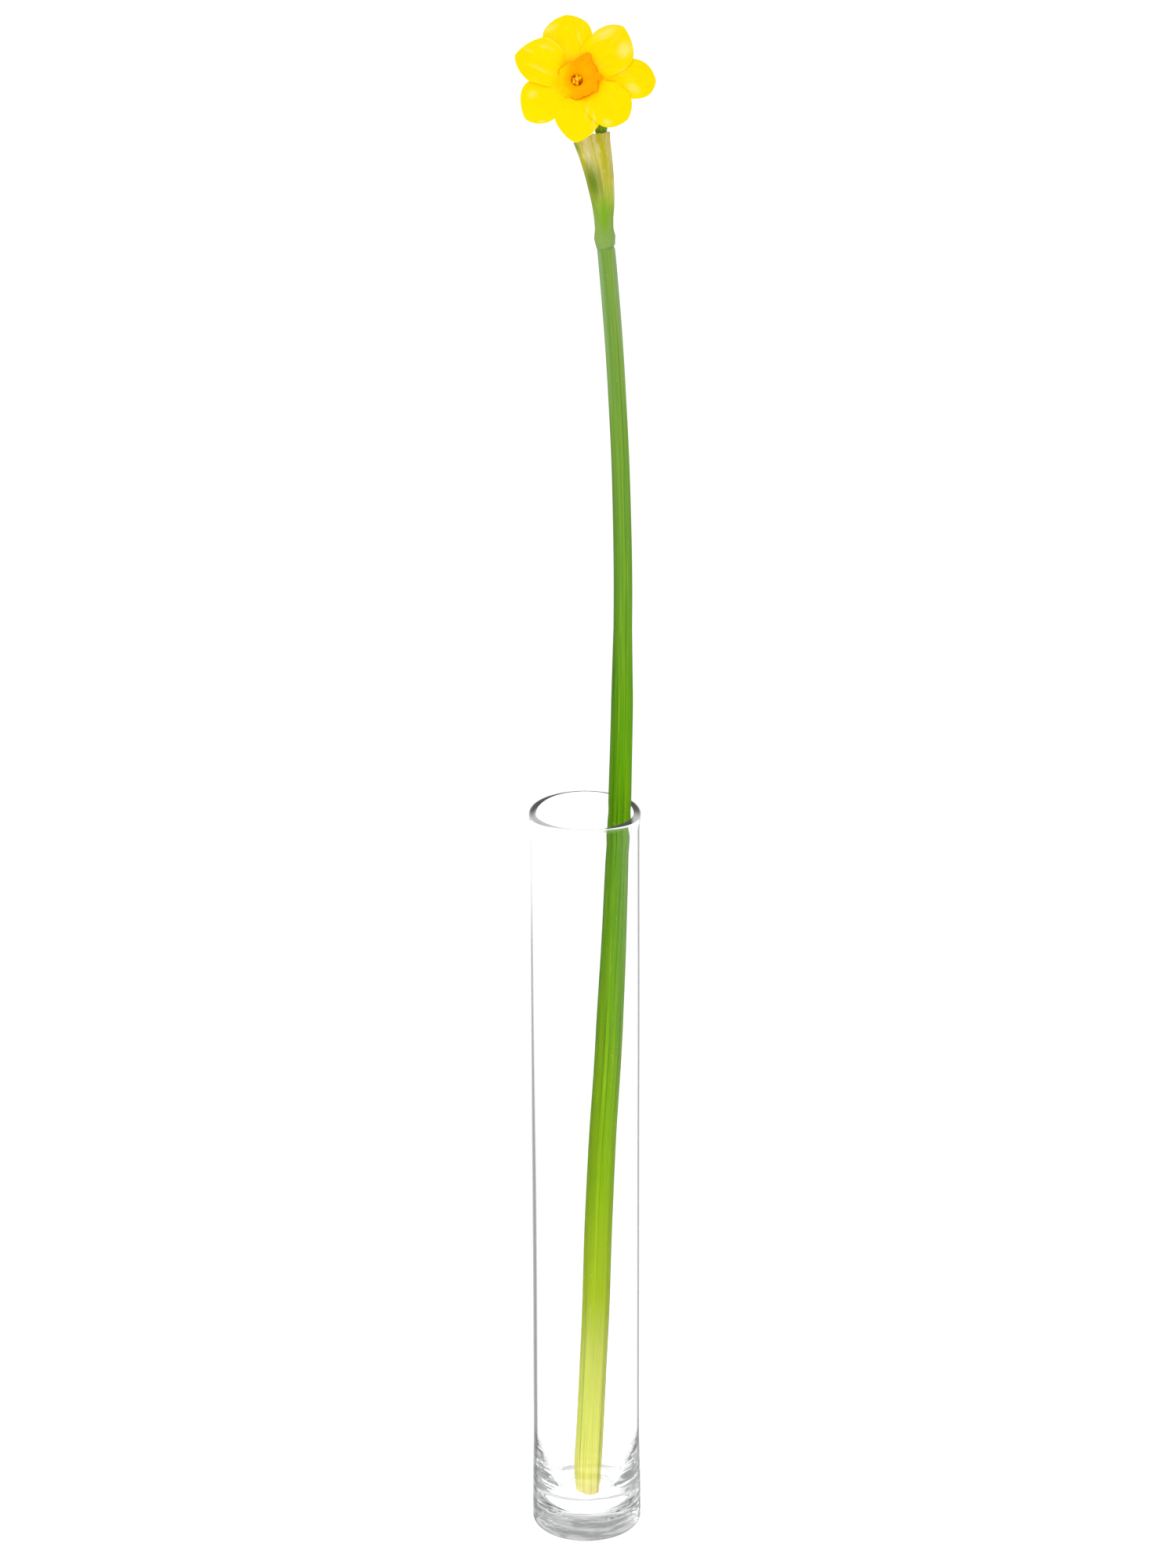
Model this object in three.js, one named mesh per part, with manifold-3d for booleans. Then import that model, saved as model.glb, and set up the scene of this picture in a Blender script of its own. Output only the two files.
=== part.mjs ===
// A single narcissus in a tall glass cylinder vase. Millimetres, +Z up.
// The origin is the centre of the vase's flat underside. The flower faces -Y and looks a little upward.
import * as THREE from 'three';
import { mergeVertices } from 'three/addons/utils/BufferGeometryUtils.js';
import Module from 'manifold-3d';

// ---- driving dimensions ----
const GAP = 0.3; // between two pieces that touch
const VASE = {
  height: 285, radius: 19.6, rimRadius: 20, bore: 17.4, rimDepth: 3,
  floor: 7.2, bowlHeight: 34, bowlSteps: 9, footFillet: 3.2, sides: 48,
};
const STEM = { sides: 24, steps: 32, ribs: 8, ribDepth: 0.035, cutTilt: 18 };
const NECK = { radius: 2.5, taper: 0.05, length: 4.6 }; // the stem's top, inside the sheath
const SHEATH = {
  wall: 0.65, sides: 22, steps: 12, mouthTilt: 2, mouthLift: 1, ragged: 0.2,
  slitTurn: 100, slitDepth: 15, slitWidth: 0.42,
};
const FACE = { throat: new THREE.Vector3(-2, -8, 555), elevation: 31, azimuth: 6 };
const PEDICEL = { radius: 1.65, footFlare: 0.5 };
const OVARY = { radius: 2.45, length: 8.6 };
const TUBE = {
  straight: 12, bend: 6.5, throatRadius: 2.9, footRadius: 2, lip: 0.5, bore: 1.9, boreDepth: 12, sides: 20,
};
const TEPAL = {
  thickness: 0.6, root: 2.3, rootShare: 0.36, widest: 0.6, cup: 0.3, wave: 0.45, keel: 0.35,
  across: 8, along: 10,
};
const CORONA = {
  foot: 2.25, base: -0.55, height: 4.9, bulge: 0.28, rim: 6.7, frill: 0.18, wall: 0.6, sides: 60, steps: 5,
};
const STAMEN = {
  count: 6, ring: 1.22, filament: 0.26, thread: 0.21, collar: 1.3,
  anther: 0.43, antherLength: 3.6, top: -0.35, stagger: 0.8,
};
const STYLE = { radius: 0.45, top: 0.1, lobe: 0.55, lobes: 3 };

// The stem's middle line: it stands a little in front of the vase's middle, leans back and to the right
// on the rim, and bows back to the left above it.
const STEM_LINE = [
  [0.3, -3.9, 12.2], [0.8, -3.7, 30], [3.1, -2.4, 80], [5.3, -0.4, 141], [8.9, 1.8, 202], [11.9, 3.6, 268],
  [13.3, 5.1, 325], [13.5, 6.8, 385], [11.6, 7.7, 439], [8.4, 8, 485], [7.3, 8, 496],
];
// Half width and half depth of the stem at a height.
const STEM_SIZES = [
  [0, 4.6, 3.7], [30, 4.8, 3.8], [200, 4.8, 3.7], [240, 4.35, 3.4], [285, 4.05, 3.2], [325, 3.8, 3.1],
  [352, 3.2, 2.9], [450, 3.1, 2.8], [490, 3.05, 2.8],
];
// The sheath's middle line with its outer half width and half depth there.
const SHEATH_LINE = [
  [7.8, 8, 491.6, 3.5, 3.4], [7.4, 8, 495, 3.45, 3.35], [7.2, 8, 498, 3.15, 3.05], [7.0, 8, 502, 3.3, 3.1],
  [6.8, 8, 507, 3.9, 3.3], [6.2, 8, 512, 4.4, 3.5], [5.3, 8, 518, 5.0, 3.7], [4.2, 8, 523.5, 5.6, 3.8],
  [2.7, 8, 530, 6.4, 3.9],
];
// From the top of the stem through the sheath to the ovary and on to the foot of the floral tube.
const PEDICEL_LINE = [[7.3, 8, 496.3], [7.2, 8, 501], [7.0, 8, 512], [6.5, 8, 522], [6.3, 8.1, 530]];
const OVARY_TOP = [5.5, 9.2, 540];

// Seven tepals: the way each points (degrees, anticlockwise from the right as the flower faces the viewer),
// how far its tip reaches from the throat, its half width, how blunt its tip is, how far it lies behind the
// front ones, how far its broad part leans sideways, and the phase of its wave.
const TEPALS = [
  { turn: -3, reach: 26.6, half: 7.8, blunt: 3.2, behind: 1.3, lean: 0, phase: 0.4 },
  { turn: 48, reach: 25.0, half: 8.9, blunt: 2.6, behind: 0, lean: -1.4, phase: 1.5 },
  { turn: 92, reach: 23.1, half: 9.2, blunt: 1.7, behind: 1.3, lean: 1.6, phase: 2.6 },
  { turn: 155, reach: 22.6, half: 8.4, blunt: 1.6, behind: 0, lean: -1.3, phase: 3.9 },
  { turn: 216, reach: 22.3, half: 8.4, blunt: 2.0, behind: 1.3, lean: -1.9, phase: 5.1 },
  { turn: 266, reach: 21.7, half: 8.2, blunt: 1.5, behind: 0.65, lean: 0.3, phase: 0.9 },
  { turn: -41, reach: 22.2, half: 8.8, blunt: 2.6, behind: 0, lean: -0.8, phase: 2.2 },
];
// The corona's frill: where each lobe stands (degrees), how far it reaches past the rim, and its spread.
const LOBES = [
  [-2, 1.3, 10], [35, 0.5, 12], [64, 2.1, 13], [108, -1.2, 22],
  [215, 1.7, 22], [267, 1.1, 15], [-38, 1.2, 13],
];

const rad = THREE.MathUtils.degToRad;
const lerp = THREE.MathUtils.lerp;
const clamp01 = (t) => THREE.MathUtils.clamp(t, 0, 1);
const ease = (t) => clamp01(t) ** 2 * (3 - 2 * clamp01(t));
const range = (n) => Array.from({ length: n }, (_, i) => i);
const point = ([x, y, z]) => new THREE.Vector3(x, y, z);
const curveThrough = (points) => new THREE.CatmullRomCurve3(points, false, 'centripetal');

// A value read between the rows of a small table whose first column rises.
function readRow(rows, key, column) {
  const next = rows.findIndex((row) => row[0] >= key);
  if (next === 0) return rows[0][column];
  if (next < 0) return rows.at(-1)[column];
  const [low, high] = [rows[next - 1], rows[next]];
  return lerp(low[column], high[column], (key - low[0]) / (high[0] - low[0]));
}

// ---- closed bodies ----
function closedBody(points, faces) {
  let volume = 0;
  for (const [a, b, c] of faces) volume += points[a].dot(points[b].clone().cross(points[c]));
  const turned = volume < 0 ? faces.map(([a, b, c]) => [a, c, b]) : faces;
  const geometry = new THREE.BufferGeometry();
  geometry.setAttribute('position', new THREE.Float32BufferAttribute(points.flatMap((p) => p.toArray()), 3));
  geometry.setIndex(turned.flat());
  geometry.computeVertexNormals();
  return geometry;
}

// A skin over rings of equally many points. The ends are capped, or joined to each other for a hollow wall.
function skin(rings, joined = false) {
  const count = rings[0].length;
  const points = rings.flat();
  const faces = [];
  const last = joined ? rings.length : rings.length - 1;
  for (const k of range(last)) {
    const a = k * count;
    const b = ((k + 1) % rings.length) * count;
    for (const i of range(count)) {
      const j = (i + 1) % count;
      faces.push([a + i, a + j, b + j], [a + i, b + j, b + i]);
    }
  }
  if (!joined) {
    for (const [first, flip] of [[0, true], [(rings.length - 1) * count, false]]) {
      const ring = points.slice(first, first + count);
      const middle = ring.reduce((sum, p) => sum.add(p), new THREE.Vector3()).divideScalar(count);
      const centre = points.push(middle) - 1;
      for (const i of range(count)) {
        const j = (i + 1) % count;
        faces.push(flip ? [centre, first + j, first + i] : [centre, first + i, first + j]);
      }
    }
  }
  return closedBody(points, faces);
}

// A thin blade: surface(s, w) gives its middle layer for s from root to tip and w from margin to margin.
// Both faces are split into triangles alike.
function blade(surface, thickness, along, across) {
  const step = 0.01;
  const front = [];
  const back = [];
  for (const k of range(along + 1)) {
    for (const i of range(across + 1)) {
      const s = k / along;
      const w = (2 * i) / across - 1;
      const here = surface(s, w);
      const alongEdge = surface(Math.min(s + step, 1), w).sub(surface(Math.max(s - step, 0), w));
      const acrossEdge = surface(s, Math.min(w + step, 1)).sub(surface(s, Math.max(w - step, -1)));
      const normal = alongEdge.cross(acrossEdge).normalize().multiplyScalar(thickness / 2);
      front.push(here.clone().sub(normal));
      back.push(here.clone().add(normal));
    }
  }
  const offset = front.length;
  const at = (k, i) => k * (across + 1) + i;
  const faces = [];
  for (const k of range(along)) {
    for (const i of range(across)) {
      for (const [a, b, c] of [
        [at(k, i), at(k, i + 1), at(k + 1, i + 1)],
        [at(k, i), at(k + 1, i + 1), at(k + 1, i)],
      ]) faces.push([a, b, c], [a + offset, c + offset, b + offset]);
    }
  }
  const border = [
    ...range(across).map((i) => at(0, i)),
    ...range(along).map((k) => at(k, across)),
    ...range(across).map((i) => at(along, across - i)),
    ...range(along).map((k) => at(along - k, 0)),
  ];
  border.forEach((a, n) => {
    const b = border[(n + 1) % border.length];
    faces.push([b, a, a + offset], [b, a + offset, b + offset]);
  });
  return closedBody([...front, ...back], faces);
}

// Rings of points round a curve; ringAt(t, turn, middle) gives the offset across it, as [sideways, back].
function ringsAlong(curve, steps, sides, ringAt) {
  const sideways = new THREE.Vector3(1, 0, 0);
  return range(steps + 1).map((k) => {
    const t = k / steps;
    const middle = curve.getPointAt(t);
    const tangent = curve.getTangentAt(t);
    const depth = tangent.clone().cross(sideways).normalize();
    const side = depth.clone().cross(tangent).normalize();
    return range(sides).map((i) => {
      const [a, b] = ringAt(t, (2 * Math.PI * i) / sides, middle);
      return middle.clone().addScaledVector(side, a).addScaledVector(depth, b);
    });
  });
}

// ---- joining and cutting ----
const wasm = await Module();
wasm.setup();

function toSolid(geometry) {
  const bare = geometry.clone();
  bare.deleteAttribute('normal');
  bare.deleteAttribute('uv');
  const merged = mergeVertices(bare, 1e-5);
  return new wasm.Manifold(new wasm.Mesh({
    numProp: 3,
    vertProperties: new Float32Array(merged.attributes.position.array),
    triVerts: new Uint32Array(merged.index.array),
  }));
}

function toGeometry(solid) {
  const mesh = solid.getMesh();
  const geometry = new THREE.BufferGeometry();
  geometry.setAttribute('position', new THREE.BufferAttribute(mesh.vertProperties, 3));
  geometry.setIndex(new THREE.BufferAttribute(mesh.triVerts, 1));
  geometry.computeVertexNormals();
  return geometry;
}

const join = (geometries) => geometries.map(toSolid).reduce((sum, solid) => sum.add(solid));

// ---- the flower's own axes: right, up and outward as its face is seen ----
const outward = new THREE.Vector3(
  Math.sin(rad(FACE.azimuth)) * Math.cos(rad(FACE.elevation)),
  -Math.cos(rad(FACE.azimuth)) * Math.cos(rad(FACE.elevation)),
  Math.sin(rad(FACE.elevation)),
);
const rightward = new THREE.Vector3(0, 0, 1).cross(outward).normalize();
const upward = outward.clone().cross(rightward);
const onFace = (right, up, out) => FACE.throat.clone()
  .addScaledVector(rightward, right).addScaledVector(upward, up).addScaledVector(outward, out);
const polar = (radius, turn, out) => onFace(radius * Math.cos(turn), radius * Math.sin(turn), out);

// ---- vase ----
const bowl = (radius) => VASE.floor + VASE.bowlHeight * (1 - Math.sqrt(1 - (radius / VASE.bore) ** 2));

function vaseGeometry() {
  const profile = [[0, 0]];
  const footCentre = VASE.radius - VASE.footFillet;
  for (const i of range(5)) {
    const turn = (i / 4) * Math.PI / 2;
    profile.push([footCentre + VASE.footFillet * Math.sin(turn), VASE.footFillet * (1 - Math.cos(turn))]);
  }
  const beadCentre = (VASE.rimRadius + VASE.bore) / 2;
  const beadHalf = (VASE.rimRadius - VASE.bore) / 2;
  profile.push([VASE.radius, VASE.height - 2 * VASE.rimDepth]);
  for (const i of range(7)) {
    const turn = (i / 6) * Math.PI;
    const rise = beadHalf * (Math.sin(turn) - 1);
    profile.push([beadCentre + beadHalf * Math.cos(turn), VASE.height + rise]);
  }
  for (const i of range(VASE.bowlSteps)) {
    const radius = VASE.bore * Math.cos((i / VASE.bowlSteps) * Math.PI / 2);
    profile.push([radius, bowl(radius)]);
  }
  profile.push([0, VASE.floor]);
  const lathe = new THREE.LatheGeometry(profile.map(([r, z]) => new THREE.Vector2(r, z)), VASE.sides);
  lathe.rotateX(Math.PI / 2);
  return lathe;
}

// ---- stem ----
const ribbed = (turn) => 1 + STEM.ribDepth * Math.cos(STEM.ribs * turn);

function stemGeometry() {
  const curve = curveThrough(STEM_LINE.map(point));
  const top = STEM_LINE.at(-1)[2];
  const rings = ringsAlong(curve, STEM.steps, STEM.sides, (t, turn, middle) => {
    const half = readRow(STEM_SIZES, middle.z, 1);
    const depth = readRow(STEM_SIZES, middle.z, 2);
    return [half * ribbed(turn) * Math.cos(turn), depth * ribbed(turn) * Math.sin(turn)];
  });
  for (const p of rings[0]) p.z -= (p.x - STEM_LINE[0][0]) * Math.tan(rad(STEM.cutTilt));
  // The neck inside the sheath is narrower and smooth.
  const shoulder = top - NECK.length;
  const kept = rings.filter((ring) => ring[0].z < shoulder - 2 * GAP);
  const neckRing = (height, half, depth) => {
    const middle = curve.getPointAt(1 - (top - height) / curve.getLength());
    return range(STEM.sides).map((i) => {
      const turn = (2 * Math.PI * i) / STEM.sides;
      return new THREE.Vector3(middle.x + half * Math.cos(turn), middle.y + depth * Math.sin(turn), height);
    });
  };
  const [, half, depth] = STEM_SIZES.at(-1);
  const tip = NECK.radius - NECK.taper;
  kept.push(neckRing(shoulder - GAP, half, depth), neckRing(shoulder, NECK.radius, NECK.radius));
  kept.push(neckRing(top, tip, tip));
  return skin(kept);
}

// ---- papery sheath ----
function sheathGeometry() {
  const curve = curveThrough(SHEATH_LINE.map(point));
  const sizes = SHEATH_LINE.map(([, , z, half, depth]) => [z, half, depth]);
  const height = sizes.at(-1)[0] - sizes[0][0];
  const mouth = (turn) => {
    const away = turn - rad(SHEATH.slitTurn);
    const fromSlit = Math.atan2(Math.sin(away), Math.cos(away));
    const slit = SHEATH.slitDepth * Math.exp(-((fromSlit / SHEATH.slitWidth) ** 2));
    const slope = SHEATH.mouthTilt * Math.cos(turn) - SHEATH.mouthLift * Math.sin(turn);
    return (slope + SHEATH.ragged * Math.cos(5 * turn + 1) - slit) / height;
  };
  const wallRings = (inset) => range(SHEATH.steps + 1).map((k) => {
    const share = k / SHEATH.steps;
    return range(SHEATH.sides).map((i) => {
      const turn = (2 * Math.PI * i) / SHEATH.sides;
      const t = share * (1 + mouth(turn));
      const middle = curve.getPointAt(Math.min(t, 1));
      const rise = Math.max(t - 1, 0) * height;
      const half = readRow(sizes, middle.z, 1) - inset;
      const depth = readRow(sizes, middle.z, 2) - inset;
      const offset = new THREE.Vector3(half * Math.cos(turn), depth * Math.sin(turn), rise);
      return middle.clone().add(offset);
    });
  });
  return skin([...wallRings(0), ...wallRings(SHEATH.wall).reverse()], true);
}

// ---- flower stalk with the ovary ----
const tubeFoot = onFace(0, 0, -TUBE.straight);
const neckCurve = new THREE.CubicBezierCurve3(
  point(OVARY_TOP),
  point(OVARY_TOP).add(new THREE.Vector3(-0.1, 0.14, 1).multiplyScalar(TUBE.bend)),
  onFace(0, 0, -TUBE.straight - TUBE.bend),
  tubeFoot,
);

function ovaryGeometry() {
  const curve = curveThrough([...PEDICEL_LINE.map(point), point(OVARY_TOP)]);
  const length = curve.getLength();
  const rings = ringsAlong(curve, 20, 12, (t, turn) => {
    const left = (1 - t) * length;
    const swell = Math.sin(Math.PI * Math.min(left / OVARY.length, 1)) ** 0.8;
    const foot = PEDICEL.footFlare * Math.exp(-(t * length) / 1.5);
    const shoulder = 0.3 * Math.max(1 - left, 0);
    const radius = lerp(PEDICEL.radius, OVARY.radius, swell) + foot + shoulder;
    return [radius * Math.cos(turn), radius * Math.sin(turn)];
  });
  return skin(rings);
}

// ---- perianth: floral tube and tepals ----
function tubeGeometry() {
  const start = neckCurve.getTangentAt(0).multiplyScalar(1.5 * GAP);
  const bend = neckCurve.getPoints(12).map((p, i) => (i === 0 ? p.clone().add(start) : p));
  const curve = curveThrough([...bend, onFace(0, 0, -TUBE.straight / 2), onFace(0, 0, -0.9)]);
  const outside = ringsAlong(curve, 18, TUBE.sides, (t, turn) => {
    const radius = lerp(TUBE.footRadius, TUBE.throatRadius, ease(t)) + TUBE.lip * ease((t - 0.85) / 0.15);
    return [radius * Math.cos(turn), radius * Math.sin(turn)];
  });
  return skin(outside);
}

function boreGeometry() {
  const profile = [
    [TUBE.bore - 0.1, -TUBE.boreDepth], [TUBE.bore, -2.2], [TUBE.bore + 0.3, -0.8], [TUBE.bore + TUBE.lip, 2],
  ];
  const rings = profile.map(([radius, out]) => (
    range(TUBE.sides).map((i) => polar(radius, (2 * Math.PI * i) / TUBE.sides, out))
  ));
  return skin(rings);
}

// Half width of a tepal at s, as a share of its widest.
function tepalShare(s, blunt) {
  const { widest, rootShare } = TEPAL;
  if (s < widest) return lerp(rootShare, 1, Math.sin((s / widest) * Math.PI / 2) ** 1.15);
  const past = (s - widest) / (1 - widest);
  return Math.max(Math.max(1 - past ** blunt, 0) ** 0.7, 0.07);
}

function tepalGeometry({ turn, reach, half, blunt, behind, lean, phase }) {
  const [c, d] = [Math.cos(rad(turn)), Math.sin(rad(turn))];
  const cupping = behind === 0 ? TEPAL.cup : -TEPAL.cup;
  return blade((s, w) => {
    const share = tepalShare(s, blunt);
    const along = lerp(TEPAL.root, reach, s);
    const width = w * half * share + lean * Math.sin(Math.PI * s ** 1.3);
    const spread = -1.5 + 1.9 * ease(s / 0.3) + 0.7 * Math.sin(Math.PI * s) - 0.9 * s ** 3;
    const wave = TEPAL.wave * Math.sin(2.8 * Math.PI * s + phase + (w > 0 ? 1.3 : 0)) * s;
    const margin = w ** 2 * share * ease(s / 0.5) * (cupping + wave);
    const keel = TEPAL.keel * Math.exp(-((w / 0.22) ** 2)) * ease(s / 0.4) * (1 - s);
    const out = spread + margin - keel - behind * ease(s / 0.3);
    return onFace(along * c - width * d, along * d + width * c, out);
  }, TEPAL.thickness, TEPAL.along, TEPAL.across);
}

function perianthGeometry() {
  const grown = join([tubeGeometry(), ...TEPALS.map(tepalGeometry)]);
  return toGeometry(grown.subtract(toSolid(boreGeometry())));
}

// ---- corona ----
function coronaRim(turn) {
  const degrees = THREE.MathUtils.radToDeg(turn);
  let reach = CORONA.rim + CORONA.frill * Math.cos(12 * turn + 0.7);
  for (const [at, extra, spread] of LOBES) {
    const away = ((degrees - at + 540) % 360) - 180;
    reach += extra * Math.exp(-((away / spread) ** 2));
  }
  return reach;
}

function coronaGeometry() {
  const wallRings = (inset) => range(CORONA.steps + 1).map((k) => {
    const share = k / CORONA.steps;
    return range(CORONA.sides).map((i) => {
      const turn = (2 * Math.PI * i) / CORONA.sides;
      const reach = coronaRim(turn);
      const flare = share ** 1.15;
      const radius = lerp(CORONA.foot + CORONA.wall, reach, flare) - inset;
      const lift = CORONA.height * (share + CORONA.bulge * Math.sin(Math.PI * share));
      const droop = 0.1 * (reach - CORONA.rim) * share ** 2;
      const bevel = inset ? 0.35 * share : 0;
      return polar(radius, turn, CORONA.base + lift * (1 - droop) + bevel);
    });
  });
  return skin([...wallRings(0), ...wallRings(CORONA.wall).reverse()], true);
}

// ---- stamens and pistil ----
function rod(radii, sides, right, up) {
  return skin(radii.map(([radius, out]) => range(sides).map((i) => {
    const turn = (2 * Math.PI * i) / sides;
    return onFace(right + radius * Math.cos(turn), up + radius * Math.sin(turn), out);
  })));
}

function stamensGeometry() {
  const low = -TUBE.boreDepth + GAP;
  const high = low + STAMEN.collar;
  const sides = 18;
  const ringAt = (radius, out) => range(sides).map((i) => polar(radius, (2 * Math.PI * i) / sides, out));
  const outer = STAMEN.ring + STAMEN.filament;
  const inner = STAMEN.ring - STAMEN.filament;
  const section = [[outer, low], [outer, high], [inner, high], [inner, low]];
  const collar = skin(section.map(([radius, out]) => ringAt(radius, out)), true);
  const stamens = range(STAMEN.count).flatMap((n) => {
    const turn = (2 * Math.PI * (n + 0.5)) / STAMEN.count;
    const right = STAMEN.ring * Math.cos(turn);
    const up = STAMEN.ring * Math.sin(turn);
    const top = STAMEN.top - (n % 2) * STAMEN.stagger;
    const foot = top - STAMEN.antherLength;
    const filament = rod([[STAMEN.thread, low + 0.5], [STAMEN.thread, foot + 1]], 6, right, up);
    const shape = [[0.4, 0], [0.85, 0.15], [1, 0.5], [0.85, 0.85], [0.4, 1]];
    const rows = shape.map(([share, at]) => [STAMEN.anther * share, lerp(foot, top, at)]);
    return [filament, rod(rows, 6, right, up)];
  });
  return toGeometry(join([collar, ...stamens]));
}

function pistilGeometry() {
  const low = -TUBE.boreDepth + GAP;
  const slim = STYLE.radius * 0.8;
  const style = rod([[STYLE.radius, low], [slim, -4], [slim, STYLE.top + 0.2]], 8, 0, 0);
  const lobes = range(STYLE.lobes).map((n) => {
    const turn = (2 * Math.PI * n) / STYLE.lobes + 0.5;
    const rows = [[0.3, -0.3], [0.85, 0], [1, 0.35], [0.7, 0.7], [0.3, 0.85]];
    const away = STYLE.lobe * 0.6;
    const sized = rows.map(([share, at]) => [STYLE.lobe * share, STYLE.top + at]);
    return rod(sized, 8, away * Math.cos(turn), away * Math.sin(turn));
  });
  return toGeometry(join([style, ...lobes]));
}

// ---- assembly ----
const flower = new THREE.Group();
flower.name = 'narcissus_in_vase';

function addPiece(name, geometry, colour, roughness, opacity = 1) {
  const material = new THREE.MeshStandardMaterial({
    color: colour, roughness, metalness: 0, opacity, transparent: opacity < 1,
  });
  const mesh = new THREE.Mesh(geometry, material);
  mesh.name = name;
  flower.add(mesh);
}

addPiece('vase', vaseGeometry(), '#eef2f2', 0.03, 0.3);
addPiece('stem', stemGeometry(), '#78a530', 0.5);
addPiece('spathe', sheathGeometry(), '#b9bf62', 0.75);
addPiece('ovary_pedicel', ovaryGeometry(), '#6b8f35', 0.5);
addPiece('perianth', perianthGeometry(), '#fee300', 0.55);
addPiece('corona', coronaGeometry(), '#fcb200', 0.55);
addPiece('stamens', stamensGeometry(), '#c8661c', 0.8);
addPiece('pistil', pistilGeometry(), '#f3c94a', 0.5);

export default flower;
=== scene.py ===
"""The looks of a single narcissus in a tall glass vase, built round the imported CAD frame.

Every piece repeats the form of the CAD node that it stands for, in finer mesh and with a procedural
material. Sizes are in millimetres, as in the part's own source, and make_piece turns them into the frame's
metres.
"""
import math

import bmesh
import bpy
import numpy as np
from mathutils import Matrix, Vector


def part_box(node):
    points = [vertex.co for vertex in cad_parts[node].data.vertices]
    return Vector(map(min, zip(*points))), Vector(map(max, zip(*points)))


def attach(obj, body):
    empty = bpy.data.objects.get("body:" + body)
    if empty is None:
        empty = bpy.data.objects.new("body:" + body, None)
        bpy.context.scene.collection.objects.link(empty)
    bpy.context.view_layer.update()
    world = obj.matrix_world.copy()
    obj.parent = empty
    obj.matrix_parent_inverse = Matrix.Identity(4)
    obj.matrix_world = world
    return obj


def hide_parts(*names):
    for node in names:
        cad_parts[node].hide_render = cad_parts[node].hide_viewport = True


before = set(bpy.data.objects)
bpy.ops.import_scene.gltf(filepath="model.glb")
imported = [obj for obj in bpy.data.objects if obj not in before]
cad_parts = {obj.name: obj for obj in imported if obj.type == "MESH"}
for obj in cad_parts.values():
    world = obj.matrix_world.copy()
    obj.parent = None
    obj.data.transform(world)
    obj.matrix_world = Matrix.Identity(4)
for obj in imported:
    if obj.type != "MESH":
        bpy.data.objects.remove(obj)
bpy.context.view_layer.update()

MM = 0.001
TAU = 2 * math.pi

# ---- driving dimensions ----
# The vase's profile. Its innermost rings have the radius middle, and rings stand closer below finer_below.
VASE_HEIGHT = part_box("vase")[1].z / MM
RIM_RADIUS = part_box("vase")[1].x / MM
VASE = {
    "radius": 19.6, "bore": 17.4, "rim_depth": 3.0, "floor": 7.2, "bowl_height": 34.0, "bowl_power": 2.5,
    "foot_fillet": 3.2, "foot_swell": 0.45, "ripple": 0.07, "sides": 192, "middle": 0.5, "finer_below": 60,
}
# The glass's marks, as heights from and to, and how strong their painted shade (greys) and painted glow are.
# stem_at_rim is how far to the right the stem crosses the rim.
GLASS = {
    "foot": (8.0, 12.0), "underside": (0.6, 3.0), "flanks": (22.0, 46.0), "climb": 10.0, "streak_shade_grey": 0.38,
    "heavy_left": (130.0, 250.0), "faint_left": (232.0, 268.0), "edge": 0.02,
    "cloud_light": 0.07, "bowl_light": 0.3, "near_rim_light": 0.45, "rim_light": 0.06, "stem_at_rim": 12.2,
}

# The stem's middle line, and its half width and half depth at a height.
STEM_LINE = [
    (0.4, -3.9, 9.7), (0.8, -3.7, 30), (3.1, -2.4, 80), (5.3, -0.4, 141), (8.9, 1.8, 202), (11.9, 3.6, 268),
    (13.3, 5.1, 325), (13.5, 6.8, 385), (11.6, 7.7, 439), (8.4, 8, 485), (7.3, 8, 496),
]
STEM_SIZES = [
    (0, 4.6, 3.7), (30, 4.8, 3.8), (200, 4.8, 3.7), (240, 4.35, 3.4), (285, 4.05, 3.2), (325, 3.8, 3.1),
    (352, 3.2, 2.9), (450, 3.1, 2.8), (490, 3.05, 2.8),
]
STEM = {
    "steps": 430, "sides": 112, "ribs": 8, "rib_depth": 0.035, "cut_tilt": 13, "cut_back": 0.36,
    "cut_reach": 12, "shoulder": 491.9, "top": 495.9, "neck": 2.45, "colour_length": 500.0,
}

# The sheath's middle line with its outer half width and half depth there.
SHEATH_LINE = [
    (7.8, 8, 491.6, 3.2, 3.0), (7.4, 8, 494.8, 3.6, 3.3), (7.2, 8, 498, 3.15, 3.05), (7.0, 8, 502, 3.3, 3.1),
    (6.8, 8, 507, 3.9, 3.3), (6.2, 8, 512, 4.4, 3.5), (5.3, 8, 518, 5.0, 3.7), (4.2, 8, 523.5, 5.6, 3.8),
    (2.7, 8, 530, 6.4, 3.9),
]
SHEATH = {
    "steps": 96, "sides": 176, "foot_wall": 0.65, "wall": 0.45, "mouth_wall": 0.16,
    "foot_tilt": 0.8, "mouth_tilt": 2.0, "mouth_lift": 2.2, "ragged": 0.2,
    "slit_turn": 100, "slit_depth": 15, "slit_width": 0.42,
}
# Marks on the sheath: across and up, half width and half height, direction (degrees), screen colour.
SHEATH_MARKS = {
    "dark left patch": (-2.6, 515.0, 3.4, 8.0, 0, (104, 130, 14)),
    "fresh low streak": (0.2, 503.5, 1.6, 8.0, 0, (112, 156, 16)),
    "bleached right margin": (4.0, 508.0, 0.5, 5.0, 0, (190, 200, 140)),
    "green left tip": (-6.3, 528.5, 1.2, 4.0, 15, (118, 148, 44)),
}

PEDICEL_LINE = [(7.3, 8, 496.3), (7.2, 8, 501), (7.0, 8, 512), (6.5, 8, 522), (6.3, 8.1, 530)]
OVARY_TOP = (5.5, 9.2, 540)
PEDICEL = {"radius": 1.65, "foot_flare": 0.5, "steps": 140, "sides": 72}
OVARY = {"radius": 2.45, "length": 8.6}

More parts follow.
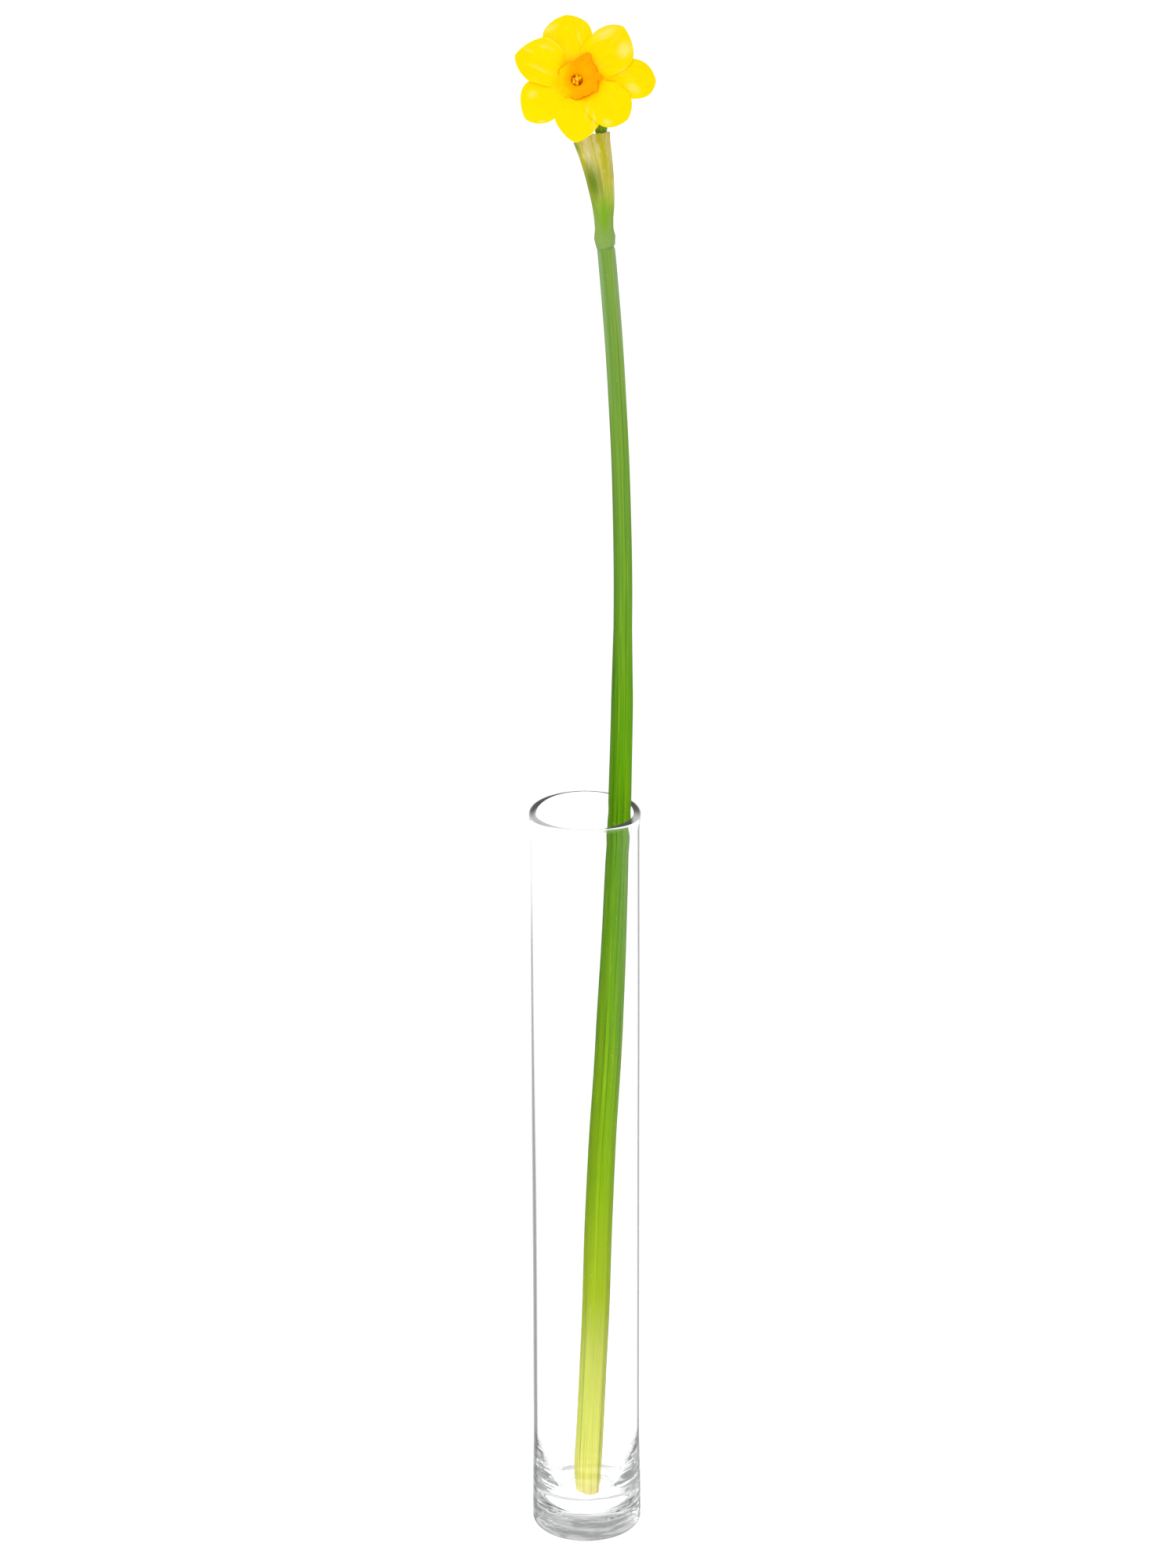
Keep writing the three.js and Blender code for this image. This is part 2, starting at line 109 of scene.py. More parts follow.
# The flower's face: the middle of its throat, and how far it looks up and round.
THROAT = np.array([-2.0, -8.0, 555.0])
FACE_ELEVATION = math.radians(31)
FACE_AZIMUTH = math.radians(6)
TUBE = {
    "straight": 12, "bend": 6.5, "throat": 2.9, "foot": 1.9, "root": 0.6, "lip": 0.5,
    "bore": 1.9, "depth": 12, "mouth": 0.9, "steps": 90, "sides": 72,
}

# Seven tepals: direction (degrees), reach, half width, bluntness, how far behind, sideways lean, wave phase.
TEPALS = {
    "right": (-2, 27.0, 7.0, 3.6, 1.3, 0.5, 0.4),
    "upper_right": (47, 25.0, 8.2, 1.8, 0, -2.1, 1.5),
    "top": (96, 23.3, 8.5, 2.6, 1.3, 0.8, 2.6),
    "upper_left": (155, 22.6, 8.3, 1.6, 0, -1.3, 3.9),
    "lower_left": (215, 22.3, 7.8, 2.0, 1.3, -1.7, 5.1),
    "bottom": (266, 21.7, 7.7, 1.5, 0.65, 0.4, 0.9),
    "lower_right": (-40.5, 21.8, 7.7, 2.7, 0, -0.4, 2.2),
}
TEPAL = {
    "root": 2.3, "root_share": 0.45, "widest": 0.6, "cup": 0.3, "wave": 0.45, "keel": 0.35,
    "behind": 0.35, "thickness": 0.34, "margin": 0.12, "veins": 11, "vein_height": 0.02,
    "along": 84, "across": 56,
}
# Painted highlights on the tepals, pale where their sheen catches the light: right and up from the throat,
# half length and half width, direction (degrees), strength.
PAINTED_HIGHLIGHTS = [
    (-10.2, 11.6, 3.0, 0.8, -25, 0.4), (-16, 10.9, 2.0, 0.9, -30, 0.3), (-12.7, 4.0, 3.6, 0.6, -28, 0.4),
    (-8, 18.4, 2.6, 1.2, 28, 0.7), (1.5, 15.1, 3.0, 0.6, -76, 0.3), (10.8, 16.2, 4.2, 1.5, 27, 0.8),
    (10.2, 14.2, 3.5, 0.5, 20, 0.6), (16.7, 9.9, 3.0, 2.3, 60, 0.95), (19, -3.7, 2.3, 1.7, -30, 0.75),
    (15.7, 2.5, 2.0, 0.6, 30, 0.4), (9.4, -15.3, 1.7, 1.0, -10, 0.8), (4.9, -15.1, 3.4, 0.5, 90, 0.5),
    (2.7, -11.4, 2.8, 0.6, 80, 0.3), (-15.4, -4.6, 1.5, 1.2, 0, 0.6), (-12.8, -14, 1.4, 0.6, 0, 0.6),
]
# The corona's frill: where each lobe stands (degrees), how far it reaches past the rim, and its spread.
LOBES = [
    (-2, 1.5, 10), (35, 0.4, 12), (65, 3.0, 14), (108, -0.9, 22), (205, 1.5, 34), (267, 0.4, 18),
    (-38, 1.2, 15),
]
CORONA = {
    "foot": 2.85, "throat": 2.1, "base": -0.55, "height": 4.9, "low_side": 210, "lowering": 0.82,
    "bulge": 0.28, "rim": 6.7, "frill": 0.18, "wall": 0.3, "bevel": 0.25, "sides": 288, "steps": 36,
}
STAMEN = {
    "count": 6, "ring": 1.18, "thread": 0.19, "anther": 0.67, "length": 3.6, "top": 1.1, "stagger": 0.15,
    "notch": 0.15,
}
STYLE = {"radius": 0.4, "neck": 0.36, "top": 0.8, "lobe": 0.5, "lobes": 3}

CAMERA = {
    "lens": 141.2, "sensor": 36, "place": (0.001155, -2.0361, 1.09896), "pitch": 21.545, "roll": -0.142,
}


# ---- numbers and curves ----
def ease(t):
    t = np.clip(t, 0, 1)
    return t * t * (3 - 2 * t)


def lerp(a, b, t):
    return a + (b - a) * t


def unit(v):
    return v / np.linalg.norm(v, axis=-1, keepdims=True)


def read_rows(rows, key, column):
    table = np.array(rows, float)
    return np.interp(key, table[:, 0], table[:, column])


def even_line(points, count):
    """count points at even distances along a line of points."""
    steps = np.linalg.norm(np.diff(points, axis=0), axis=1)
    length = np.concatenate([[0], np.cumsum(steps)])
    at = np.linspace(0, length[-1], count)
    return np.stack([np.interp(at, length, points[:, k]) for k in range(points.shape[1])], -1)


def smooth_line(points, count):
    """count points evenly spaced on the centripetal Catmull-Rom curve through points."""
    p = np.array(points, float)
    p = np.vstack([2 * p[0] - p[1], p, 2 * p[-1] - p[-2]])
    spans = []
    for a, b, c, d in zip(p, p[1:], p[2:], p[3:]):
        t0 = 0.0
        t1 = t0 + math.sqrt(np.linalg.norm(b - a))
        t2 = t1 + math.sqrt(np.linalg.norm(c - b))
        t3 = t2 + math.sqrt(np.linalg.norm(d - c))
        t = np.linspace(t1, t2, 60, endpoint=False)[:, None]
        ab = lerp(a, b, (t - t0) / (t1 - t0))
        bc = lerp(b, c, (t - t1) / (t2 - t1))
        cd = lerp(c, d, (t - t2) / (t3 - t2))
        abc = lerp(ab, bc, (t - t0) / (t2 - t0))
        bcd = lerp(bc, cd, (t - t1) / (t3 - t1))
        spans.append(lerp(abc, bcd, (t - t1) / (t2 - t1)))
    return even_line(np.vstack([*spans, p[-2:-1]]), count)


def bezier_line(a, b, c, d, count):
    t = np.linspace(0, 1, count)[:, None]
    return (1 - t) ** 3 * a + 3 * (1 - t) ** 2 * t * b + 3 * (1 - t) * t * t * c + t ** 3 * d


def turns(sides):
    return (TAU * np.arange(sides) / sides)[None, :]


def rings_along(line, sides, ring_at):
    """Rings round a line; ring_at(t, turn, height) gives each point's offset sideways and back."""
    tangent = unit(np.gradient(line, axis=0))
    back = unit(np.cross(tangent, [1.0, 0.0, 0.0]))
    side = np.cross(back, tangent)
    t = np.linspace(0, 1, len(line))[:, None]
    a, b = ring_at(t, turns(sides), line[:, 2:3])
    return line[:, None] + a[..., None] * side[:, None] + b[..., None] * back[:, None]


# ---- the flower's own axes ----
OUTWARD = np.array([
    math.sin(FACE_AZIMUTH) * math.cos(FACE_ELEVATION),
    -math.cos(FACE_AZIMUTH) * math.cos(FACE_ELEVATION),
    math.sin(FACE_ELEVATION),
])
RIGHTWARD = unit(np.cross([0, 0, 1], OUTWARD))
UPWARD = np.cross(OUTWARD, RIGHTWARD)


def on_face(right, up, out):
    right, up, out = (np.asarray(v, float)[..., None] for v in (right, up, out))
    return THROAT + right * RIGHTWARD + up * UPWARD + out * OUTWARD


def polar(radius, turn, out):
    return on_face(radius * np.cos(turn), radius * np.sin(turn), out)


# ---- meshes ----
def grid_faces(rows, columns, wrap_rows=False, wrap_columns=False):
    r = np.arange(rows if wrap_rows else rows - 1)[:, None]
    c = np.arange(columns if wrap_columns else columns - 1)[None, :]
    down, across = (r + 1) % rows, (c + 1) % columns
    corners = [r * columns + c, r * columns + across, down * columns + across, down * columns + c]
    return np.stack(corners, -1).reshape(-1, 4)


class Surface:
    """Points (in mm), faces and growth coordinates of one piece, gathered from one or more skins.

    A growth coordinate says where a point is on the plant's own tissue: two lengths across it and one along
    it. The materials' streaks and veins follow it.
    """

    def __init__(self):
        self.points = []
        self.growth = []
        self.faces = []
        self.count = 0

    def add(self, points, growth, faces):
        self.points.append(points.reshape(-1, 3))
        self.growth.append(growth.reshape(-1, 3))
        self.faces.extend((np.asarray(faces) + self.count).tolist())
        self.count += self.points[-1].shape[0]

    def add_tube(self, rings, growth, closed=False):
        """A skin over rings. Its ends are capped, or joined to each other for a hollow wall."""
        rows, sides = rings.shape[:2]
        first = self.count
        self.add(rings, growth, grid_faces(rows, sides, closed, True))
        if closed:
            return
        for start, turned in ((first, True), (first + (rows - 1) * sides, False)):
            row = 0 if turned else -1
            middle = self.count
            self.add(rings[row].mean(0), growth[row].mean(0), [])
            for i in range(sides):
                edge = [start + i, start + (i + 1) % sides]
                self.faces.append([middle] + (edge[::-1] if turned else edge))

    def add_blade(self, points, growth, half_thickness):
        """A thin closed blade round the middle layer that the grid of points gives."""
        rows, columns = points.shape[:2]
        normal = unit(np.cross(np.gradient(points, axis=1), np.gradient(points, axis=0)))
        offset = normal * half_thickness[..., None]
        faces = grid_faces(rows, columns)
        front = self.count
        self.add(points + offset, growth, faces)
        back = self.count
        self.add(points - offset, growth, faces[:, ::-1])
        at = np.arange(rows * columns).reshape(rows, columns)
        border = np.concatenate([at[0, :-1], at[:-1, -1], at[-1, :0:-1], at[:0:-1, 0]])
        after = np.roll(border, -1)
        rim = np.stack([border + front, after + front, after + back, border + back], -1)
        self.faces.extend(rim.tolist())


def ring_growth(rings, along=None):
    """Growth coordinates of rings: across from each ring's middle, and along by height if not given."""
    growth = rings - rings.mean(1, keepdims=True)
    growth[..., 2] = rings[..., 2] if along is None else along
    return growth


def make_piece(name, surface, material, node):
    """One finished object from a surface: it rides on the body and stands for its CAD node."""
    mesh = bpy.data.meshes.new(name)
    mesh.from_pydata((np.vstack(surface.points) * MM).tolist(), [], surface.faces)
    growth = mesh.attributes.new("growth", "FLOAT_VECTOR", "POINT")
    growth.data.foreach_set("vector", np.vstack(surface.growth).astype(np.float32).ravel())
    built = bmesh.new()
    built.from_mesh(mesh)
    bmesh.ops.recalc_face_normals(built, faces=built.faces)
    built.to_mesh(mesh)
    built.free()
    mesh.shade_smooth()
    mesh.materials.append(material)
    piece = bpy.data.objects.new(name, mesh)
    bpy.context.scene.collection.objects.link(piece)
    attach(piece, "root")
    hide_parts(node)


def make_tube(name, rings, growth, material, node, closed=False):
    """One finished piece whose skin runs over rings."""
    surface = Surface()
    surface.add_tube(rings, growth, closed)
    make_piece(name, surface, material, node)


# ---- material nodes ----
def srgb(red, green, blue):
    """A screen colour, 0 to 255 a channel, as the linear colour that shaders take."""
    channels = [c / 255 for c in (red, green, blue)]
    linear = [c / 12.92 if c <= 0.04045 else ((c + 0.055) / 1.055) ** 2.4 for c in channels]
    return (*linear, 1.0)


def grey(level):
    return (level, level, level, 1.0)


class Paint:
    """A material's node tree, with short calls for the nodes that the pieces use."""

    def __init__(self, name, **finish):
        self.material = bpy.data.materials.new(name)
        self.material.use_nodes = True
        self.tree = self.material.node_tree
        self.shader = self.tree.nodes["Principled BSDF"]
        for socket, value in finish.items():
            self.set(socket.replace("_", " "), value)

    def set(self, socket, value):
        target = self.shader.inputs[socket]
        if isinstance(value, bpy.types.NodeSocket):
            self.tree.links.new(value, target)
        else:
            target.default_value = value

    def node(self, kind, inputs=(), **settings):
        made = self.tree.nodes.new("ShaderNode" + kind)
        for key, value in settings.items():
            setattr(made, key, value)
        for key, value in dict(inputs).items():
            if isinstance(value, bpy.types.NodeSocket):
                self.tree.links.new(value, made.inputs[key])
            else:
                made.inputs[key].default_value = value
        return made

    def math(self, operation, a, b=0.0, c=0.0, clamp=False):
        return self.node("Math", {0: a, 1: b, 2: c}, operation=operation, use_clamp=clamp).outputs[0]

    def times(self, a, b):
        return self.math("MULTIPLY", a, b)

    def tissue(self):
        return self.node("Attribute", attribute_name="growth").outputs["Vector"]

    def growth(self, across=1.0, along=1.0):
        """The growth coordinates, scaled across and along the tissue."""
        scale = (across, across, along)
        return self.node("VectorMath", {0: self.tissue(), 1: scale}, operation="MULTIPLY").outputs[0]

    def growth_part(self, axis):
        return self.node("SeparateXYZ", {0: self.tissue()}).outputs[axis]

    def growth_dot(self, direction):
        inputs = {0: self.tissue(), 1: direction}
        return self.node("VectorMath", inputs, operation="DOT_PRODUCT").outputs["Value"]

    def length(self, vector):
        return self.node("VectorMath", {0: vector}, operation="LENGTH").outputs["Value"]

    def vector(self, x, y, z=0.0):
        return self.node("CombineXYZ", {0: x, 1: y, 2: z}).outputs[0]

    def face_part(self, axis):
        """How far a point lies from the throat along one of the flower's own axes, in millimetres."""
        place = self.node("TexCoord").outputs["Object"]
        away = self.node("VectorMath", {0: place, 1: THROAT * MM}, operation="SUBTRACT").outputs[0]
        return self.node("VectorMath", {0: away, 1: axis / MM}, operation="DOT_PRODUCT").outputs["Value"]

    def spot(self, place, x, y, long, wide, turn=0.0):
        """1 inside an ellipse on the plane of place, fading to 0 at its edge."""
        inputs = {"Vector": place, "Location": (x, y, 0), "Rotation": (0, 0, math.radians(turn)),
                  "Scale": (long, wide, 1)}
        away = self.length(self.node("Mapping", inputs, vector_type="TEXTURE").outputs[0])
        return self.range(away, 0.0, 1.5, 1.0, 0.0)

    def noise(self, where, scale=1.0, detail=2.0, roughness=0.5):
        inputs = {"Vector": where, "Scale": scale, "Detail": detail, "Roughness": roughness}
        return self.node("TexNoise", inputs).outputs["Fac"]

    def range(self, value, low, high, to_low=0.0, to_high=1.0):
        inputs = {"Value": value, "From Min": low, "From Max": high, "To Min": to_low, "To Max": to_high}
        return self.node("MapRange", inputs, interpolation_type="SMOOTHSTEP").outputs["Result"]

    def mix(self, factor, a, b, blend="MIX"):
        made = self.node("Mix", data_type="RGBA", blend_type=blend)
        for index, value in ((0, factor), (6, a), (7, b)):
            if isinstance(value, bpy.types.NodeSocket):
                self.tree.links.new(value, made.inputs[index])
            else:
                made.inputs[index].default_value = value
        return made.outputs[2]

    def ramp(self, factor, stops):
        """Colours along a factor; stops are (place from 0 to 1, colour)."""
        made = self.node("ValToRGB", {"Fac": factor})
        elements = made.color_ramp.elements
        while len(elements) < len(stops):
            elements.new(1.0)
        for element, (place, colour) in zip(elements, stops):
            element.position = place
            element.color = colour
        return made.outputs["Color"]

    def bump(self, height, distance, strength=1.0):
        inputs = {"Height": height, "Distance": distance, "Strength": strength}
        self.set("Normal", self.node("Bump", inputs).outputs["Normal"])


# ---- vase ----
def foot_marks(paint, outer, height, facing, streak):
    """Where the heavy foot is bumpy, and where grey streaks of painted shade lie level. Both climb its
    sides.
    """
    low, high = GLASS["foot"]
    middle = (low + high) / 2
    rising = paint.math("MULTIPLY_ADD", facing, -GLASS["climb"], height)
    foot = paint.range(rising, low, high, 1.0, 0.0)
    flanks = paint.times(paint.range(height, *GLASS["flanks"], 1.0, 0.0), paint.range(facing, 0.35, 0.65))
    cloudy = paint.times(outer, paint.math("MAXIMUM", foot, flanks))
    underside = paint.range(height, *GLASS["underside"], 0.8, 0.0)
    stroke = paint.times(paint.range(rising, low, middle), paint.range(rising, middle, high, 1.0, 0.0))
    side_stroke = paint.times(stroke, paint.range(facing, 0.18, 0.32))
    drawn = paint.times(outer, paint.math("MAXIMUM", underside, side_stroke))
    return cloudy, paint.math("MAXIMUM", drawn, paint.times(cloudy, paint.range(streak, 0.40, 0.60)))


def painted_edge_shade(paint, outer, height, facing):
    """Where the outer skin, seen edge on below the rim, is painted dark: painted shade for the glass's edge
    lines.

    On the left side the painted shade is fainter near the rim and heavier in its lower half.
    """
    left = paint.range(paint.growth_part("X"), -12.0, -2.0, 1.0, 0.0)
    heavy = paint.times(left, paint.range(height, *GLASS["heavy_left"], 0.09, 0.0))
    faint = paint.times(left, paint.range(height, *GLASS["faint_left"], 0.0, 0.9))
    below_rim = paint.range(height, VASE_HEIGHT - 5, VASE_HEIGHT - 2, 1.0, 0.0)
    wall = paint.math("SUBTRACT", below_rim, faint, clamp=True)
    seen = paint.range(paint.math("ADD", facing, heavy), 0.70, 0.80)
    return paint.times(paint.times(outer, wall), seen)


def painted_inner_glow(paint, outer, height, streak):
    """Painted glow in the glass, for the light that bounces on inside the foot, the bowl and the rim."""
    foot = paint.range(height, 8.0, 14.0, 0.01, GLASS["cloud_light"])
    low = paint.times(foot, paint.range(height, 20.0, 46.0, 1.0, 0.0))
    cloud = paint.times(low, paint.range(streak, 0.35, 0.65))
    inner = paint.math("SUBTRACT", 1.0, outer)
    bowl_light = paint.times(inner, paint.range(height, 10.0, 14.0, GLASS["bowl_light"], 0.0))
    rim = paint.range(height, VASE_HEIGHT - 2.2, VASE_HEIGHT - 1.2)
    # The near side of the rim has more painted glow, but not in front of the stem.
    front = paint.range(paint.growth_part("Y"), -8.0, 1.0, GLASS["near_rim_light"], 0.0)
    from_stem = paint.math("ABSOLUTE", paint.math("SUBTRACT", paint.growth_part("X"), GLASS["stem_at_rim"]))
    near_side = paint.times(front, paint.range(from_stem, 4.0, 5.5))
    rim_light = paint.times(rim, paint.math("ADD", near_side, GLASS["rim_light"]))
    return paint.math("ADD", paint.math("ADD", cloud, bowl_light), rim_light)


def let_lamps_through(paint):
    """Lamps shine through the glass without a dark shadow."""
    clear = paint.node("BsdfTransparent").outputs[0]
    shadow_ray = paint.node("LightPath").outputs["Is Shadow Ray"]
    both = paint.node("MixShader", {0: shadow_ray, 1: paint.shader.outputs[0], 2: clear})
    paint.tree.links.new(both.outputs[0], paint.tree.nodes["Material Output"].inputs["Surface"])


def glass():
    paint = Paint("clear_glass", Roughness=0.0, IOR=1.5, Transmission_Weight=1.0, Specular_Tint=grey(0.05))
    outer = paint.range(paint.length(paint.growth(1.0, 0.0)), VASE["bore"] + 0.4, VASE["bore"] + 1.2)
    height = paint.growth_part("Z")
    facing = paint.node("LayerWeight", {"Blend": 0.5}).outputs["Facing"]
    streak = paint.noise(paint.growth(0.07, 0.42), detail=2.0, roughness=0.55)
    # Painted shade: grey streaks in the foot's tint stand in for the dark bands that refraction draws in it.
    cloudy, painted_streak_shade = foot_marks(paint, outer, height, facing, streak)
    tint = paint.mix(painted_streak_shade, grey(1.0), grey(GLASS["streak_shade_grey"]))
    # Painted shade: a near-black tint where the outer skin is seen edge on.
    edge = painted_edge_shade(paint, outer, height, facing)
    paint.set("Base Color", paint.mix(edge, tint, grey(GLASS["edge"])))
    # Painted light: the glass glows faintly of itself.
    paint.set("Emission Color", grey(1.0))
    paint.set("Emission Strength", painted_inner_glow(paint, outer, height, streak))
    paint.bump(paint.times(cloudy, streak), 0.0005)
    absorption = paint.node("VolumeAbsorption", {"Color": (0.80, 0.82, 0.82, 1), "Density": 25.0})
    paint.tree.links.new(absorption.outputs[0], paint.tree.nodes["Material Output"].inputs["Volume"])
    let_lamps_through(paint)
    return paint.material


def bowl(radius):
    share = np.maximum(1 - (radius / VASE["bore"]) ** VASE["bowl_power"], 0)
    return VASE["floor"] + VASE["bowl_height"] * (1 - share ** (1 / VASE["bowl_power"]))


def arc(centre_r, centre_z, radius, start, end, count):
    turn = np.radians(np.linspace(start, end, count))
    return np.stack([centre_r + radius * np.cos(turn), centre_z + radius * np.sin(turn)], -1)


def upright(radius, low, high, count):
    return np.stack([np.full(count, radius), np.linspace(low, high, count)], -1)


def vase_profile():
    """Radius and height from the middle of the underside, up the outside and down the inside."""
    radius, bore, fillet, middle = VASE["radius"], VASE["bore"], VASE["foot_fillet"], VASE["middle"]
    bead = (RIM_RADIUS - bore) / 2
    neck = VASE_HEIGHT - 2 * VASE["rim_depth"]
    bowl_top = VASE["floor"] + VASE["bowl_height"]
    across = bore * np.cos(np.linspace(0, math.pi / 2, 40))[1:-1]
    return np.vstack([
        np.stack([np.linspace(middle, radius - fillet, 8)[:-1], np.zeros(7)], -1),
        arc(radius - fillet, fillet, fillet, -90, 0, 12),
        upright(radius, fillet, VASE["finer_below"], 60)[1:],
        upright(radius, VASE["finer_below"], neck, 40)[1:],
        arc(bore + bead, VASE_HEIGHT - bead, bead, 0, 180, 18),
        upright(bore, neck, bowl_top, 60),
        np.stack([across, bowl(across)], -1),
        [[middle, VASE["floor"]]],
    ])


def make_vase():
    profile = vase_profile()
    turn = turns(VASE["sides"])
    radius, height = profile[:, :1], profile[:, 1:]
    # Hand-drawn glass is never quite even: slow waves in the walls, closer ripples in the heavy foot, which
    # also swells a little.
    foot = np.exp(-height / 16) * ease(height / 3)
    wave = 0.03 * np.cos(2 * turn + height / 31) + 0.02 * np.cos(3 * turn - height / 17)
    ripple = np.cos(1.9 * height + 1.3 * np.cos(2 * turn + 0.6)) + 0.7 * np.cos(0.95 * height - 2 * turn)
    below_rim = ease((VASE_HEIGHT - 4 - height) / 8)
    uneven = (wave * ease(height / 12) + VASE["ripple"] * foot * ripple) * below_rim
    swell = VASE["foot_swell"] * ease((40 - height) / 30) * ease((radius - VASE["bore"]) / 2)
    radius = radius + uneven * ease(radius / 8) + swell
    points = np.stack([radius * np.cos(turn), radius * np.sin(turn), height + 0 * turn], -1)
    make_tube("glass_vase", points, points, glass(), "vase")


# ---- stem ----
def stem_skin():
    paint = Paint("stem_skin", Specular_IOR_Level=0.05, Subsurface_Weight=0.1,
                  Subsurface_Radius=(0.6, 1.0, 0.1), Subsurface_Scale=0.001)
    streak = paint.noise(paint.growth(1.1, 0.008), detail=3.0, roughness=0.6)
    fine = paint.noise(paint.growth(4.0, 0.03), detail=2.0)
    uneven = paint.math("MULTIPLY_ADD", paint.math("SUBTRACT", streak, 0.5), 40.0, paint.growth_part("Z"))
    height = paint.math("DIVIDE", uneven, STEM["colour_length"])
    green = paint.ramp(height, [
        (0.02, srgb(208, 192, 104)), (0.045, srgb(210, 206, 102)), (0.09, srgb(202, 206, 100)),
        (0.145, srgb(184, 192, 86)), (0.19, srgb(152, 174, 30)), (0.28, srgb(124, 163, 0)),
        (0.40, srgb(98, 149, 0)), (0.54, srgb(79, 133, 0)), (0.60, srgb(84, 143, 0)),
        (0.66, srgb(83, 140, 16)), (0.78, srgb(96, 141, 44)), (0.96, srgb(106, 142, 62)),
    ])
    dark = paint.mix(paint.range(streak, 0.32, 0.50, 0.5, 0.0), green, srgb(120, 160, 60), "MULTIPLY")
    pale = paint.mix(paint.range(streak, 0.52, 0.72, 0.0, 0.25), dark, srgb(166, 190, 16))
    lined = paint.mix(paint.range(fine, 0.5, 0.7, 0.0, 0.3), pale, srgb(164, 190, 34))
    spots = paint.noise(paint.growth(1.6, 0.9), detail=1.0)
    marked = paint.mix(paint.range(spots, 0.76, 0.80, 0.0, 0.7), lined, srgb(206, 202, 136))
    # Painted shade: a duller, darker left side halfway up; near the sheath both flanks turn grey-green.
    across = paint.growth_part("X")
    halfway = paint.times(paint.range(height, 0.12, 0.3), paint.range(height, 0.8, 0.92, 1.0, 0.0))
    left = paint.times(halfway, paint.range(across, -2.6, -1.0, 1.0, 0.0))
    painted_left_shade = paint.mix(left, marked, (0.72, 0.72, 0.9, 1), "MULTIPLY")
    flank = paint.range(paint.math("ABSOLUTE", across), 1.2, 2.6, 0.0, 0.7)
    near_sheath = paint.times(flank, paint.range(height, 0.84, 0.97))
    paint.set("Base Color", paint.mix(near_sheath, painted_left_shade, srgb(134, 160, 110)))
    paint.set("Roughness", paint.range(fine, 0.3, 0.7, 0.4, 0.55))
    paint.bump(paint.math("ADD", fine, streak), 0.0001, 0.5)
    return paint.material


def make_stem():
    line = smooth_line(STEM_LINE, STEM["steps"])
    line = line[line[:, 2] < STEM["top"]]

    def ring_at(t, turn, height):
        rib = 1 + STEM["rib_depth"] * np.cos(STEM["ribs"] * turn + 0.004 * height)
        fine = 0.008 * np.cos(27 * turn + 0.3 * np.sin(height / 60)) + 0.006 * np.cos(43 * turn)
        swell = 0.012 * np.cos(height / 19 + 2 * turn) + 0.008 * np.cos(height / 7.3 + turn)
        foot = 0.06 * np.exp(-((height - 23) / 8) ** 2) * np.exp(-((turn - math.pi) / 0.9) ** 2)
        pinch = -0.05 * np.exp(-((height - VASE_HEIGHT + 2) / 2.5) ** 2) * np.cos(turn) ** 2
        shape = rib + fine + swell + foot + pinch
        taper = ease((STEM["shoulder"] - height) / 0.9)
        half = lerp(STEM["neck"], read_rows(STEM_SIZES, height, 1), taper)
        depth = lerp(STEM["neck"], read_rows(STEM_SIZES, height, 2), taper)
        return half * shape * np.cos(turn), depth * shape * np.sin(turn)

    rings = rings_along(line, STEM["sides"], ring_at)
    # The slanted cut leans the lowest rings to the right and the back, less and less up the stem.
    slope = math.tan(math.radians(STEM["cut_tilt"]))
    fade = 1 - ease((line[:, 2] - line[0, 2]) / STEM["cut_reach"])
    lean = (rings[..., 0] - STEM_LINE[0][0]) * slope + (rings[..., 1] - STEM_LINE[0][1]) * STEM["cut_back"]
    rings[..., 2] -= lean * fade[:, None]
    # The pith is set back a little inside the cut.
    centre = rings[0].mean(0)
    pith = [centre + (rings[0] - centre) * share + [0, 0, rise]
            for share, rise in ((0.12, 1.1), (0.3, 0.9), (0.42, 0.3), (0.8, 0.15), (0.95, 0.03))]
    rings = np.concatenate([np.array(pith), rings])
    make_tube("flower_stem", rings, ring_growth(rings), stem_skin(), "stem")


# ---- papery sheath ----
def sheath_skin():
    paint = Paint("papery_sheath", Roughness=0.6, Specular_IOR_Level=0.2, Subsurface_Weight=0.2,
                  Subsurface_Radius=(0.8, 0.9, 0.3), Subsurface_Scale=0.001)
    streak = paint.noise(paint.growth(0.42, 0.02), detail=4.0, roughness=0.6)
    fine = paint.noise(paint.growth(3.5, 0.08), detail=2.0)
    cloudy = paint.noise(paint.growth(0.5, 0.22), detail=2.0)
    uneven = paint.math("MULTIPLY_ADD", paint.math("SUBTRACT", streak, 0.5), 22.0, paint.growth_part("Z"))
    height = paint.range(uneven, 488.0, 533.0)
    skin = paint.ramp(height, [
        (0.0, srgb(120, 152, 80)), (0.14, srgb(128, 158, 72)), (0.3, srgb(122, 156, 44)),
        (0.5, srgb(160, 176, 54)), (0.68, srgb(192, 186, 66)), (1.0, srgb(210, 198, 110)),
    ])
    papery = paint.range(height, 0.5, 0.75)
    olive = paint.times(papery, paint.range(streak, 0.42, 0.5, 1.0, 0.0))
    pink = paint.times(papery, paint.range(streak, 0.57, 0.64, 0.0, 0.8))
    pale = paint.times(papery, paint.range(cloudy, 0.58, 0.72, 0.0, 0.6))
    skin = paint.mix(olive, skin, srgb(190, 182, 20))
    skin = paint.mix(pink, skin, srgb(232, 214, 168))
    skin = paint.mix(paint.range(fine, 0.36, 0.46, 0.35, 0.0), skin, srgb(120, 138, 40))
    skin = paint.mix(pale, skin, srgb(222, 222, 160))
    place = paint.vector(paint.growth_part("X"), paint.growth_part("Z"))
    for *spot, colour in SHEATH_MARKS.values():
        skin = paint.mix(paint.spot(place, *spot), skin, srgb(*colour))
    paint.set("Base Color", skin)
    paint.set("Alpha", paint.range(height, 0.4, 0.8, 1.0, 0.8))
    paint.bump(paint.math("ADD", fine, streak), 0.00015, 0.8)
    return paint.material


